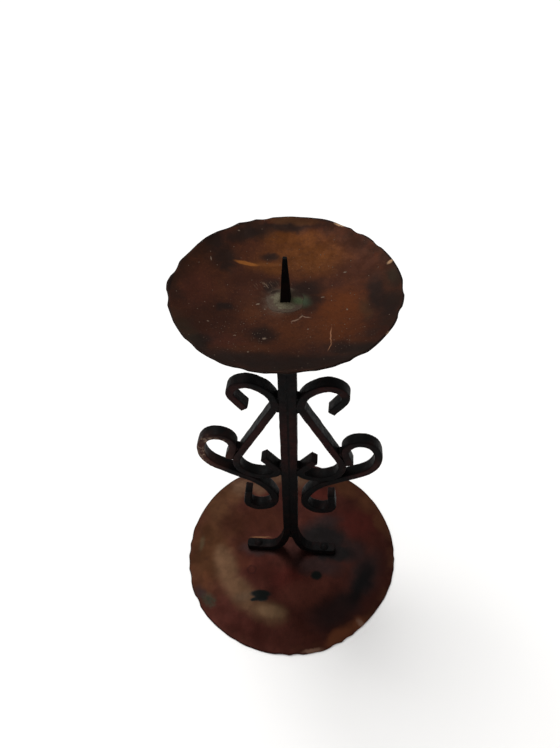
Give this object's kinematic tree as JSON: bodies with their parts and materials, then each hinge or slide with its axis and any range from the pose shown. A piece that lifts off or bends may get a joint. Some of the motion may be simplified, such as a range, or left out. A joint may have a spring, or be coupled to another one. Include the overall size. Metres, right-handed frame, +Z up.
{
  "type": "candlestick",
  "caption": "Pricket altar candlestick: a domed copper foot and a shallow copper drip tray on a wrought-iron stem with scrolls on both sides.",
  "frame": {"origin": "centre of the ring that the domed foot stands on, at the ground", "axes": "+Z up along the stem, +X along the scrolls towards the right one, -Y towards the viewer"},
  "size_m": [0.188, 0.188, 0.3385],
  "materials": {
    "hammered_copper": "aged dark copper, planished, worn bright on the rim",
    "forged_iron": "blackened wrought iron, slightly brown",
    "solder": "dull lead-tin solder with green copper salts",
    "braze": "dark brass braze"
  },
  "bodies": {
    "root": {"base_dish": "hammered_copper", "foot_rivet_left": "forged_iron", "foot_rivet_right": "forged_iron", "hook_welds": "forged_iron", "loop_welds": "forged_iron", "lower_scroll_left": "forged_iron", "lower_scroll_right": "forged_iron", "nose_welds": "forged_iron", "pricket": "forged_iron", "rivet_rove_left": "forged_iron", "rivet_rove_right": "forged_iron", "run_welds": "forged_iron", "seam_braze": "braze", "seat_plate": "forged_iron", "seat_welds": "forged_iron", "solder_ring": "solder", "stem_bar_left": "forged_iron", "stem_bar_right": "forged_iron", "tray_dish": "hammered_copper", "upper_scroll_left": "forged_iron", "upper_scroll_right": "forged_iron"}
  },
  "joints": []
}
